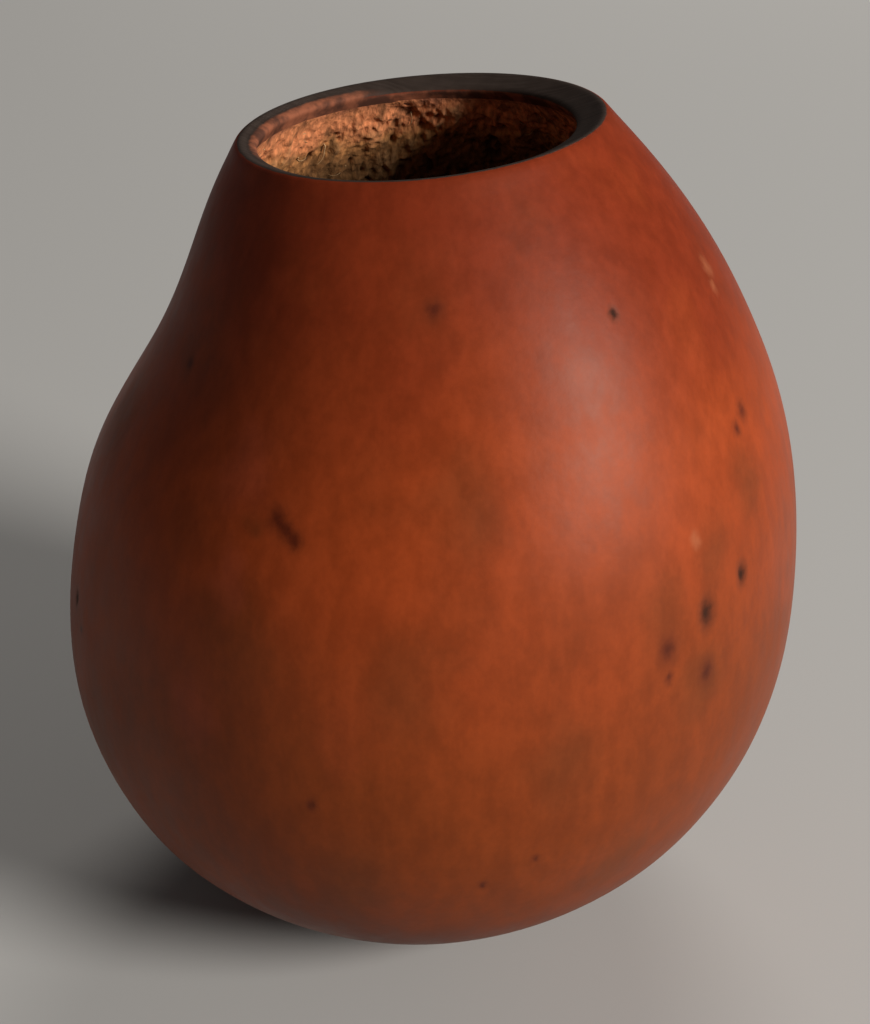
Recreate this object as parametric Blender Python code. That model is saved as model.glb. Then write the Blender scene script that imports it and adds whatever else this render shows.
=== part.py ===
"""A dried bottle gourd with its neck sawn off, hollow, standing on a small flat spot.

Metres, +Z up. The origin is the middle of the flat spot, so the gourd stands on z = 0.
The gourd grew as one piece, so it is one closed solid. It is lofted from rings of points:
up the outside, over the sawn rim, and down the inside to the middle of the floor.
"""
import math

import bmesh
import bpy
import numpy as np
from mathutils import Vector, noise

# Outside shape: height, radius on the left (-X) side, radius on the right (+X) side.
# The left side is straighter below the rim and the right side has the fuller shoulder.
OUTLINE = (
    (0.000, 0.0175, 0.0175),
    (0.003, 0.0265, 0.0254),
    (0.010, 0.0377, 0.0358),
    (0.022, 0.0488, 0.0472),
    (0.040, 0.0547, 0.0547),
    (0.058, 0.0539, 0.0560),
    (0.076, 0.0489, 0.0540),
    (0.092, 0.0395, 0.0485),
    (0.106, 0.0332, 0.0409),
    (0.118, 0.0278, 0.0315),
    (0.130, 0.0200, 0.0200),
)
# Gentle unevenness of a grown shell: lobes round the gourd, share of the radius, first lobe's angle.
LOBES = ((2, 0.006, math.radians(75)), (3, 0.004, math.radians(20)), (5, 0.002, math.radians(50)))

# The saw cut: its height over the origin, and how far it rises towards +X.
CUT_HEIGHT = 0.1230
CUT_SLOPE = math.tan(math.radians(4.8))
# The rim's face falls inwards from its outer edge, and both of its edges are worn round.
RIM_DISH = math.tan(math.radians(22))
OUTER_EDGE_WEAR = 0.0008
INNER_EDGE_WEAR = 0.0012

# Wall, square to the outside: thin side, thick side, and what the floor has on top of that,
# which fades out this many stations up.
WALL_LEFT = 0.0032
WALL_RIGHT = 0.0047
FLOOR_EXTRA = 0.0012
FLOOR_REACH = 3.0

# Dried pulp on the inside: lumps that run down the wall, starting under a smooth band whose
# lower edge wanders. They are lower where the wall is out of sight, and fade out on the floor.
SMOOTH_BAND = 0.0020
BAND_WANDER = 0.6
PULP_FADE = 0.0030
LUMP_SIZE = 0.0045
LUMP_STRETCH = 2.2
LUMP_HEIGHT = 0.0009
DEEP_LUMP_HEIGHT = 0.0005
LUMP_MIDDLE = 0.6
SWELL_HEIGHT = 0.8
SWELL_SCALE = 0.7
SEEN_DEPTH = 0.022
PLAIN_FLOOR_RADIUS = 0.020

# Rings of points.
SEGMENTS = 80
OUTER_BANDS = 26
EDGE_BANDS = 3
UPPER_INNER_BANDS = 13
LOWER_INNER_BANDS = 12

# How the meeting of two surfaces is searched for: from this many stations below the last one.
SEARCH_STATIONS = 4.0
BISECTIONS = 40
# Steps of t over which a direction along the wall is measured.
TANGENT_STEP = 0.001

SHARP_ANGLE = math.radians(50)

# Materials by name: colour and roughness, in the order of the face slots below.
FINISHES = (
    ("gourd_skin", (0.30, 0.080, 0.028, 1.0), 0.42),
    ("sawn_rim", (0.060, 0.045, 0.038, 1.0), 0.60),
    ("dried_pulp", (0.48, 0.215, 0.085, 1.0), 0.95),
)
SKIN, RIM, PULP = range(len(FINISHES))


class Spline:
    """Natural cubic through values at t = 0, 1, 2 and so on."""

    def __init__(self, values):
        self.values = np.array(values, dtype=float)
        count = len(self.values)
        matrix = np.eye(count)
        second = np.zeros(count)
        for i in range(1, count - 1):
            matrix[i, i - 1:i + 2] = (1.0, 4.0, 1.0)
            second[i] = 6.0 * (self.values[i - 1] - 2.0 * self.values[i] + self.values[i + 1])
        self.bends = np.linalg.solve(matrix, second)

    def __call__(self, t):
        low = np.clip(np.floor(t).astype(int), 0, len(self.values) - 2)
        b = t - low
        a = 1.0 - b
        straight = a * self.values[low] + b * self.values[low + 1]
        return straight + ((a**3 - a) * self.bends[low] + (b**3 - b) * self.bends[low + 1]) / 6.0


HEIGHT_AT = Spline([station[0] for station in OUTLINE])
LEFT_AT = Spline([station[1] for station in OUTLINE])
RIGHT_AT = Spline([station[2] for station in OUTLINE])
LAST_STATION = float(len(OUTLINE) - 1)


def mix(a, b, share):
    return a + (b - a) * share


def smoothstep(low, high, value):
    x = np.clip((value - low) / (high - low), 0.0, 1.0)
    return x * x * (3.0 - 2.0 * x)


def right_share(theta):
    """0 on the left side of the gourd, 1 on the right."""
    return 0.5 + 0.5 * np.cos(theta)


def outside(theta, t):
    """Radius and height of the outer surface at an angle, t stations up."""
    radius = mix(LEFT_AT(t), RIGHT_AT(t), right_share(theta))
    uneven = sum(share * np.cos(lobes * (theta - first)) for lobes, share, first in LOBES)
    return radius * (1.0 + uneven * np.clip(t, 0.0, 1.0)), HEIGHT_AT(t)


def inside(theta, t):
    """The same for the inner surface: the outer one moved in by the wall's thickness."""
    radius, height = outside(theta, t)
    radius_up, height_up = outside(theta, t + TANGENT_STEP)
    along_r, along_z = radius_up - radius, height_up - height
    length = np.hypot(along_r, along_z)
    wall = mix(WALL_LEFT, WALL_RIGHT, right_share(theta))
    wall = wall + FLOOR_EXTRA * (1.0 - smoothstep(0.0, FLOOR_REACH, t))
    return radius - wall * along_z / length, height + wall * along_r / length


def cut_height(theta, radius):
    return CUT_HEIGHT + CUT_SLOPE * radius * np.cos(theta)


def meeting(gap_at, theta):
    """The t, for every angle, at which gap_at(t) passes from below zero to above it."""
    low = np.full_like(theta, LAST_STATION - SEARCH_STATIONS)
    high = np.full_like(theta, LAST_STATION)
    for _ in range(BISECTIONS):
        middle = 0.5 * (low + high)
        below = gap_at(middle) < 0.0
        low = np.where(below, middle, low)
        high = np.where(below, high, middle)
    return 0.5 * (low + high)


def rounded(start, corner, end, bands):
    """Points from start to end, rounding the corner, without the first one."""
    shares = np.arange(1, bands + 1) / bands
    return [tuple(mix(mix(s, c, u), mix(c, e, u), u) for s, c, e in zip(start, corner, end))
            for u in shares]


def pulp(theta, radius, height, depth):
    """How far the dried pulp stands out of the inner wall, depth below the rim's inner edge."""
    heights = np.zeros_like(theta)
    for i, angle in enumerate(theta):
        x = radius[i] * math.cos(angle) / LUMP_SIZE
        y = radius[i] * math.sin(angle) / LUMP_SIZE
        place = Vector((x, y, height[i] / (LUMP_SIZE * LUMP_STRETCH)))
        nearest = noise.voronoi(place)[0][0]
        heights[i] = LUMP_MIDDLE - nearest + SWELL_HEIGHT * noise.noise(place * SWELL_SCALE)
    start = SMOOTH_BAND * (1.0 + BAND_WANDER * np.sin(5.0 * theta) * np.sin(2.0 * theta + 1.0))
    size = mix(LUMP_HEIGHT, DEEP_LUMP_HEIGHT, smoothstep(0.5 * SEEN_DEPTH, SEEN_DEPTH, depth))
    fade = smoothstep(0.0, PULP_FADE, depth - start) * smoothstep(0.0, PLAIN_FLOOR_RADIUS, radius)
    return heights * size * fade


def gourd_rings():
    """Rings of (radius, height) round the gourd, and how many belong to the skin and the rim."""
    theta = np.linspace(0.0, math.tau, SEGMENTS, endpoint=False)

    def above_cut(t):
        radius, height = outside(theta, t)
        return height - cut_height(theta, radius)

    outer_t = meeting(above_cut, theta)
    outer_edge = outside(theta, outer_t)

    def above_face(t):
        radius, height = inside(theta, t)
        return height - cut_height(theta, radius) + RIM_DISH * (outer_edge[0] - radius)

    inner_t = meeting(above_face, theta)
    inner_edge = inside(theta, inner_t)
    face = np.hypot(outer_edge[0] - inner_edge[0], outer_edge[1] - inner_edge[1])

    # The length of wall in the last station, which turns a distance in metres into a step of t.
    station = np.hypot(*(a - b for a, b in zip(outside(theta, outer_t), outside(theta, outer_t - 1.0))))
    worn_t = outer_t - OUTER_EDGE_WEAR / station
    worn_inner_t = inner_t - INNER_EDGE_WEAR / station

    rings = [outside(theta, worn_t * k / OUTER_BANDS) for k in range(OUTER_BANDS + 1)]

    def on_face(distance):
        share = distance / face
        return tuple(mix(o, i, share) for o, i in zip(outer_edge, inner_edge))

    rings += rounded(rings[-1], outer_edge, on_face(OUTER_EDGE_WEAR), EDGE_BANDS)
    rings.append(on_face(0.5 * (face + OUTER_EDGE_WEAR - INNER_EDGE_WEAR)))
    rings.append(on_face(face - INNER_EDGE_WEAR))
    rings += rounded(rings[-1], inner_edge, inside(theta, worn_inner_t), EDGE_BANDS)
    rim_bands = 2 * EDGE_BANDS + 2

    seen_t = worn_inner_t - SEEN_DEPTH / station
    steps = [mix(worn_inner_t, seen_t, k / UPPER_INNER_BANDS) for k in range(1, UPPER_INNER_BANDS + 1)]
    steps += [seen_t * (1.0 - k / LOWER_INNER_BANDS) for k in range(1, LOWER_INNER_BANDS + 1)]
    for t in steps:
        radius, height = inside(theta, t)
        depth = (worn_inner_t - t) * station
        lump = pulp(theta, radius, height, depth)
        below_radius, below_height = inside(theta, t - TANGENT_STEP)
        fall_r, fall_z = below_radius - radius, below_height - height
        length = np.hypot(fall_r, fall_z)
        rings.append((radius + lump * fall_z / length, height - lump * fall_r / length))
    return theta, rings, OUTER_BANDS, rim_bands


def principled(name, color, roughness):
    material = bpy.data.materials.new(name)
    material.use_nodes = True
    shader = material.node_tree.nodes["Principled BSDF"]
    shader.inputs["Base Color"].default_value = color
    shader.inputs["Roughness"].default_value = roughness
    shader.inputs["Metallic"].default_value = 0.0
    return material


def close_end(bm, ring, height, outwards):
    """A fan of triangles from one ring to its middle."""
    middle = bm.verts.new((0.0, 0.0, height))
    faces = []
    for i, vert in enumerate(ring):
        following = ring[(i + 1) % len(ring)]
        corners = (middle, following, vert) if outwards else (middle, vert, following)
        faces.append(bm.faces.new(corners))
    return faces


def make_gourd():
    theta, rings, skin_bands, rim_bands = gourd_rings()
    bm = bmesh.new()
    loops = []
    for radius, height in rings:
        places = zip(radius * np.cos(theta), radius * np.sin(theta), height)
        loops.append([bm.verts.new(place) for place in places])

    for band in range(len(loops) - 1):
        low, high = loops[band], loops[band + 1]
        slot = SKIN if band < skin_bands else (RIM if band < skin_bands + rim_bands else PULP)
        for i in range(SEGMENTS):
            j = (i + 1) % SEGMENTS
            face = bm.faces.new((low[i], low[j], high[j], high[i]))
            face.material_index = slot

    close_end(bm, loops[0], 0.0, outwards=True)
    floor_height = float(np.mean(rings[-1][1]))
    for face in close_end(bm, loops[-1], floor_height, outwards=False):
        face.material_index = PULP

    mesh = bpy.data.meshes.new("gourd_shell")
    bm.to_mesh(mesh)
    bm.free()
    for name, color, roughness in FINISHES:
        mesh.materials.append(principled(name, color, roughness))
    mesh.shade_smooth()
    mesh.set_sharp_from_angle(angle=SHARP_ANGLE)
    gourd = bpy.data.objects.new("gourd_shell", mesh)
    bpy.context.scene.collection.objects.link(gourd)
    return gourd


for old in list(bpy.data.objects):
    bpy.data.objects.remove(old, do_unlink=True)
make_gourd()
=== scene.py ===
"""Looks of the dried bottle gourd: skin, sawn rim, dried pulp and its fibres, in metres.

The same formulas that shape the solid give a finer mesh here, in the same place and size.
"""
import math
import random

import bpy
import numpy as np
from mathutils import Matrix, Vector, noise


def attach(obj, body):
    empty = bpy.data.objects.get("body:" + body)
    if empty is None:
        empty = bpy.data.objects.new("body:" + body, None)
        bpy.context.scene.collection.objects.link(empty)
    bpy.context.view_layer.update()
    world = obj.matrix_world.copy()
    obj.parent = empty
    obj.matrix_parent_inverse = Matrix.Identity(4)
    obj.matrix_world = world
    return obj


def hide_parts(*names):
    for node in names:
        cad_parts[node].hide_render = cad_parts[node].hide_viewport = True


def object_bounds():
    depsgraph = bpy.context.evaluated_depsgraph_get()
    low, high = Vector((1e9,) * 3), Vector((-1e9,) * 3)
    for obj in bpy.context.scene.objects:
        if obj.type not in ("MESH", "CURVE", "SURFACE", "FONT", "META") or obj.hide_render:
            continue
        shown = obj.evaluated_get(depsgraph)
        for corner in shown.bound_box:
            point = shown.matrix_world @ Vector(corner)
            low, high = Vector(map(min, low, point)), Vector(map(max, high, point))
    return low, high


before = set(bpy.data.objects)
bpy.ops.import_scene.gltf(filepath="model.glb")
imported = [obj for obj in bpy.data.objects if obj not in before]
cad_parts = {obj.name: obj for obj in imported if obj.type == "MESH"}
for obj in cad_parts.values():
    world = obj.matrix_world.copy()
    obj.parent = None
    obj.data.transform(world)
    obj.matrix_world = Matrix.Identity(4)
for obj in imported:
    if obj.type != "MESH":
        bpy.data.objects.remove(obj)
cad_low, cad_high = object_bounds()

NODE = "gourd_shell"
BODY = "root"
MM = 0.001

# Outside shape: height, radius on the left (-X) side, radius on the right (+X) side.
OUTLINE = (
    (0.000, 0.0175, 0.0175),
    (0.003, 0.0265, 0.0254),
    (0.010, 0.0377, 0.0358),
    (0.022, 0.0488, 0.0472),
    (0.040, 0.0547, 0.0547),
    (0.058, 0.0539, 0.0560),
    (0.076, 0.0489, 0.0540),
    (0.092, 0.0395, 0.0485),
    (0.106, 0.0332, 0.0409),
    (0.118, 0.0278, 0.0315),
    (0.130, 0.0200, 0.0200),
)
# Slight lobes round the wall: how many, their share of the radius, and where the first one is.
LOBES = ((2, 0.006, math.radians(75)), (3, 0.004, math.radians(20)), (5, 0.002, math.radians(50)))

# The saw cut and the rim.
CUT_HEIGHT = 0.1230
CUT_SLOPE = math.tan(math.radians(4.8))
RIM_DISH = math.tan(math.radians(22))
OUTER_EDGE_WEAR = 0.0008
INNER_EDGE_WEAR = 0.0012

# Wall, and the lumps of dried pulp on its inside.
WALL_LEFT = 0.0032
WALL_RIGHT = 0.0047
FLOOR_EXTRA = 0.0012
FLOOR_REACH = 3.0
SMOOTH_BAND = 0.0020
BAND_WANDER = 0.6
BAND_WAVES = 5.0
BAND_SWELLS = 2.0
BAND_TURN = 1.0
PULP_FADE = 0.0030
LUMP_SIZE = 0.0045
LUMP_STRETCH = 2.2
LUMP_HEIGHT = 0.0009
DEEP_LUMP_HEIGHT = 0.0005
LUMP_MIDDLE = 0.6
SWELL_HEIGHT = 0.8
SWELL_SCALE = 0.7
SEEN_DEPTH = 0.022
LUMP_CHANGE = (0.5 * SEEN_DEPTH, SEEN_DEPTH)
PLAIN_FLOOR_RADIUS = 0.020

# How the curves are searched, and where the noise functions start.
SEARCH_STATIONS = 4.0
BISECTIONS = 40
TANGENT_STEP = 0.001
NOISE_SEED = 7
# Roughness, growth and octaves of the noise that makes ragged edges and grit.
FRACTAL = (1.0, 2.0, 3)

# The rind's mesh. Its points crowd together at the front, by this share.
FRONT = math.radians(-90)
RIND_SEGMENTS = 440
RIND_CROWDING = 0.35
SKIN_BANDS = 168
BASE_BANDS = 8
EDGE_BANDS = 6
FACE_BANDS = 8
BAND_BANDS = 14
HIDDEN_BANDS = 8
SKIN_INSET = 0.10 * MM
SHOWN_BAND = 0.008

# The underside's hollow, and the share of the flat spot's radius over which it ends.
BASE_RECESS = 0.5 * MM
BASE_CURVE = (0.55, 0.97)

# Shallow dents in the skin. They come in over this many stations at the foot, and fade out over
# this distance below the rim.
DENT_DEPTH = 0.25 * MM
DENT_SIZE = 0.016
DENT_FOOT_STATIONS = 0.6
DENT_RIM_REACH = 0.003

# Saw lines on the rim's face: depth, distance apart, direction, and how often and how far they wave.
SAW_DEPTH = 0.04 * MM
SAW_PITCH = 0.9 * MM
SAW_TURN = 0.4
SAW_WAVES = 5.0
SAW_BEND = 1.5
# The shares of the way round the rim's outer and inner edge over which the sawn colour comes in,
# and over which it gives way to the inner wall's.
SAWN_RISE = (0.1, 0.75)
INNER_RISE = (0.2, 1.0)

# Where the sawn face shows reddish wood along its inner edge.
RUDDY_MIDDLE = math.radians(155)
RUDDY_SPAN = (0.45, 0.95)
RUDDY_RISE = (0.30, 1.0)
RUDDY_MOST = 0.9

# The lining of dried pulp, which is sunk into the rind's inner wall.
PULP_MIDDLE = math.radians(110)
PULP_SEGMENTS = 520
PULP_CROWDING = 0.30
SEEN_BANDS = 78
DEEP_BANDS = 76
FLOOR_BANDS = 8
BACK_BANDS = 8
LINING = 1.3 * MM
LINING_START = 0.0012
LINING_FULL = 0.0055
SUNK_EDGE = 0.45 * MM
SUNK_REACH = 0.0006
SUNK_BACK = 0.60 * MM
TOP_DEPTH = 0.5 * MM
RAGGED = 0.50 * MM
RAGGED_SIZE = 0.0022

# Its hollows: their size, the frequency and amount of the noises that bend them, and how their size
# varies.
CAVITY_SIZE = 0.0036
CAVITY_STRETCH = 2.2
CAVITY_DEPTH = 0.75 * MM
CAVITY_BENDS = ((1.3, 0.55), (4.0, 0.2))
CAVITY_MIDDLE = 0.44
CAVITY_SPREAD = 0.50
CAVITY_PATCH = 0.45
CAVITY_LEAST = 0.05
CAVITY_EDGE = (0.0, 0.80)
CAVITY_RISE = (0.0005, 0.0045)
DEEP_CAVITIES = 0.5

# Its strands and grit, the frequency and amount of the noise that bends the strands, and the depths
# below the smooth band over which all this comes in.
STRAND_SIZE = 0.0016
STRAND_STRETCH = 4.0
STRAND_HEIGHT = 0.26 * MM
STRAND_BEND = (0.5, 0.5)
DEEP_STRANDS = 0.6
GRIT_SIZE = 0.0010
GRIT_HEIGHT = 0.22 * MM
FINE_RISE = (-0.0006, 0.0018)
# The depths over which hollows and strands go over to their deep size.
DEEP_CHANGE = (0.5 * SEEN_DEPTH, 1.5 * SEEN_DEPTH)
# How far its hollows may go beyond the lining's thickness, near the rim and deeper down.
DEEPEST_NEAR_RIM = 0.3 * MM
DEEPEST_BELOW = -0.1 * MM
DEEPEST_CHANGE = (0.002, 0.006)

# How much of the map each stretch of wall gets for its length.
MAP_NAME = "OFBake"
MAP_MARGIN = 0.01
BASE_WEIGHT = 0.5
SKIN_WEIGHT = 1.0
RIM_WEIGHT = 1.5
FIRST_COVERED_BAND = 8
COVERED_WEIGHT = 0.2
HIDDEN_WEIGHT = 0.05
PULP_BACK_WEIGHT = 0.02
PULP_UPPER_STEPS = 81
PULP_UPPER_WEIGHT = 1.6
PULP_LOWER_WEIGHT = 0.6

# Loose fibres of the pulp: how many, how far down they root, how long and thick they are, how much
# they lean and curl in radians, and how far they stand out of the wall, less towards the tip.
FIBRES = 150
FIBRE_SEED = 41
FIBRE_DEPTHS = (0.0030, 0.030)
FIBRE_DEPTH_POWER = 1.4
FIBRE_LENGTHS = (0.0015, 0.0045)
FIBRE_RADII = (0.07 * MM, 0.15 * MM)
FIBRE_LEAN = 0.5
FIBRE_CURLS = (0.8, 2.6)
FIBRE_STANDS = (0.25, 0.6)
FIBRE_LIFT = 1.6
FIBRE_DROOP = 2.0
FIBRE_TAPER = 0.75
FIBRE_STEPS = 9
FIBRE_SIDES = 4
FIBRE_ROOT = 0.5 * MM
FIBRE_RISE = 0.2 * MM
TUBE_SIDE = Vector((0.31, 0.22, 0.92))

# Marks on the skin: angle in degrees, height in mm and radius in mm. The first ones of each list are
# placed after the photo, and the others are guessed, for the sides that it doesn't show.
PITS = (
    (-51.8, 106.6, 0.60), (-38.1, 70.4, 1.00), (-46.6, 67.9, 1.40),
    (118.0, 66.0, 0.45), (14.0, 52.0, 0.80), (38.0, 75.5, 0.90), (96.0, 88.0, 0.70),
    (118.0, 61.0, 1.00), (121.0, 57.0, 0.50), (171.0, 82.0, 0.80), (-160.0, 58.0, 0.90),
)
RED_SPOTS = (
    (-88.1, 109.1, 0.95), (-28.6, 89.8, 0.95), (-31.6, 88.4, 0.75), (-46.7, 59.1, 1.20),
    (-54.3, 65.1, 1.35), (-113.5, 84.0, 1.15), (-54.2, 60.8, 0.70), (-81.7, 33.2, 0.60),
    (-74.2, 37.2, 0.55), (-105.4, 47.2, 0.60),
    (31.0, 78.0, 0.60), (67.0, 43.0, 0.70), (152.0, 35.0, 0.70), (-156.0, 55.0, 0.50),
    (-146.0, 96.0, 0.70), (132.0, 98.0, 0.60), (60.0, 104.0, 0.50),
)
# Scars, each a run of spots: angle, height and radius at its start and at its end, and how many spots.
SCARS = (
    ((-113.4, 83.8, 0.90), (-109.7, 81.8, 0.80), 10),
    ((84.0, 70.0, 0.55), (88.0, 66.9, 0.40), 14),
)
STAINS = (
    (-55.5, 70.5, 5.0), (-43.0, 75.0, 4.2), (-47.5, 57.5, 4.4), (-32.3, 81.7, 4.0), (-116.8, 82.9, 1.7),
    (-92.0, 66.0, 6.5), (-84.0, 88.0, 6.0), (-70.0, 52.0, 6.0), (-118.0, 68.0, 7.0),
    (-60.0, 30.0, 5.5), (-100.0, 34.0, 7.0),
    (22.0, 64.0, 7.0), (58.0, 86.0, 6.0), (88.0, 52.0, 8.0), (124.0, 74.0, 6.5),
    (160.0, 48.0, 8.0), (-166.0, 84.0, 6.0), (-150.0, 40.0, 6.5), (40.0, 30.0, 6.0),
)
PALE_SPOTS = (
    (-47.3, 78.2, 1.0), (-18.0, 106.4, 1.3), (-20.0, 104.2, 0.8), (-69.0, 4.6, 0.7), (-73.0, 4.4, 0.8),
    (-56.0, 5.6, 0.9), (-52.0, 6.4, 0.8),
    (72.0, 66.0, 1.2), (140.0, 90.0, 1.0), (-172.0, 66.0, 1.1),
)
FLUSHES = (
    (-124.5, 56.2, 4.0), (-122.0, 88.0, 5.0), (-119.0, 76.0, 3.5),
    (50.0, 60.0, 6.0), (110.0, 95.0, 5.0),
)
# A pit is also a hollow in the mesh: its depth for its radius in mm, its length for its width, and
# the shares of its radius over which its side rises.
PIT_HOLLOW = 0.16 * MM
PIT_LENGTH = 1.6
PIT_SIDE = (0.2, 1.3)


class Spline:
    """Natural cubic through values at t = 0, 1, 2 and so on."""

    def __init__(self, values):
        self.values = np.array(values, dtype=float)
        count = len(self.values)
        matrix = np.eye(count)
        second = np.zeros(count)
        for i in range(1, count - 1):
            matrix[i, i - 1:i + 2] = (1.0, 4.0, 1.0)
            second[i] = 6.0 * (self.values[i - 1] - 2.0 * self.values[i] + self.values[i + 1])
        self.bends = np.linalg.solve(matrix, second)

    def __call__(self, t):
        low = np.clip(np.floor(t).astype(int), 0, len(self.values) - 2)
        b = t - low
        a = 1.0 - b
        straight = a * self.values[low] + b * self.values[low + 1]
        return straight + ((a**3 - a) * self.bends[low] + (b**3 - b) * self.bends[low + 1]) / 6.0


HEIGHT_AT = Spline([station[0] for station in OUTLINE])
LEFT_AT = Spline([station[1] for station in OUTLINE])
RIGHT_AT = Spline([station[2] for station in OUTLINE])
LAST_STATION = float(len(OUTLINE) - 1)


def mix(a, b, share):
    return a + (b - a) * share


def smoothstep(low, high, value):
    x = np.clip((value - low) / (high - low), 0.0, 1.0)
    return x * x * (3.0 - 2.0 * x)


def right_share(theta):
    """0 on the left side of the gourd, 1 on the right."""
    return 0.5 + 0.5 * np.cos(theta)


def outside(theta, t):
    """Radius and height of the outer surface at an angle, t stations up."""
    radius = mix(LEFT_AT(t), RIGHT_AT(t), right_share(theta))
    uneven = sum(share * np.cos(lobes * (theta - first)) for lobes, share, first in LOBES)
    return radius * (1.0 + uneven * np.clip(t, 0.0, 1.0)), HEIGHT_AT(t)


def inside(theta, t):
    """The same for the inner surface: the outer one moved in by the wall's thickness."""
    radius, height = outside(theta, t)
    radius_up, height_up = outside(theta, t + TANGENT_STEP)
    along_r, along_z = radius_up - radius, height_up - height
    length = np.hypot(along_r, along_z)
    wall = mix(WALL_LEFT, WALL_RIGHT, right_share(theta))
    wall = wall + FLOOR_EXTRA * (1.0 - smoothstep(0.0, FLOOR_REACH, t))
    return radius - wall * along_z / length, height + wall * along_r / length


def cut_height(theta, radius):
    return CUT_HEIGHT + CUT_SLOPE * radius * np.cos(theta)


def meeting(gap_at, theta, lowest):
    """The t, for every angle, at which gap_at(t) passes from below zero to above it."""
    low = np.full_like(theta, lowest)
    high = np.full_like(theta, LAST_STATION)
    for _ in range(BISECTIONS):
        middle = 0.5 * (low + high)
        below = gap_at(middle) < 0.0
        low = np.where(below, middle, low)
        high = np.where(below, high, middle)
    return 0.5 * (low + high)


def rounded(start, corner, end, bands):
    """Points from start to end, rounding the corner, without the first one."""
    shares = np.arange(1, bands + 1) / bands
    return [tuple(mix(mix(s, c, u), mix(c, e, u), u) for s, c, e in zip(start, corner, end))
            for u in shares]


def crowded(segments, middle, crowding):
    """Angles all the way round, closer together round the middle one, starting opposite it."""
    turn = middle - math.pi + math.tau * np.arange(segments) / segments
    return turn - crowding * np.sin(turn - middle)


def each(function, x, y, z):
    """One value of function(point) for every point of the arrays."""
    values = [function(Vector(point)) for point in zip(np.ravel(x), np.ravel(y), np.ravel(z))]
    return np.array(values).reshape(np.shape(x))


def on_surface(angle, height):
    """The point of the outer surface at an angle in degrees and a height in mm."""
    theta = np.array([math.radians(angle)])
    t = meeting(lambda t: HEIGHT_AT(t) - height * MM, theta, 0.0)
    radius = float(outside(theta, t)[0][0])
    return Vector((radius * math.cos(theta[0]), radius * math.sin(theta[0]), height * MM))


class Neck:
    """The sawn edge at every angle: where the outside and the inside meet the rim's face."""

    def __init__(self, theta):
        self.theta = theta
        self.outer_t = meeting(self.above_cut, theta, LAST_STATION - SEARCH_STATIONS)
        self.outer_edge = outside(theta, self.outer_t)
        self.inner_t = meeting(self.above_face, theta, LAST_STATION - SEARCH_STATIONS)
        self.inner_edge = inside(theta, self.inner_t)
        self.face = np.hypot(*(o - i for o, i in zip(self.outer_edge, self.inner_edge)))
        below = outside(theta, self.outer_t - 1.0)
        self.station = np.hypot(*(a - b for a, b in zip(self.outer_edge, below)))
        self.worn_t = self.outer_t - OUTER_EDGE_WEAR / self.station
        self.worn_inner_t = self.inner_t - INNER_EDGE_WEAR / self.station

    def above_cut(self, t):
        radius, height = outside(self.theta, t)
        return height - cut_height(self.theta, radius)

    def above_face(self, t):
        radius, height = inside(self.theta, t)
        return height - cut_height(self.theta, radius) + RIM_DISH * (self.outer_edge[0] - radius)

    def on_face(self, distance):
        """Radius and height on the rim's face, this far in from its outer edge."""
        share = distance / self.face
        return tuple(mix(o, i, share) for o, i in zip(self.outer_edge, self.inner_edge))

    def t_at(self, depth):
        """The t this far down the inner wall from the rim's worn inner edge."""
        return self.worn_inner_t - depth / self.station

    def depth_at(self, t):
        """How far down the inner wall t is from the rim's worn inner edge."""
        return (self.worn_inner_t - t) * self.station

    def inner_wall(self, t, inwards):
        """Radius and height on the inner wall, moved inwards (towards the hollow) by a distance."""
        radius, height = inside(self.theta, t)
        below_radius, below_height = inside(self.theta, t - TANGENT_STEP)
        fall_r, fall_z = below_radius - radius, below_height - height
        length = np.hypot(fall_r, fall_z)
        return radius + inwards * fall_z / length, height - inwards * fall_r / length


def new_object(name, data):
    """A new object of the scene, with this mesh, light or camera."""
    thing = bpy.data.objects.new(name, data)
    bpy.context.scene.collection.objects.link(thing)
    return thing


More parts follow.
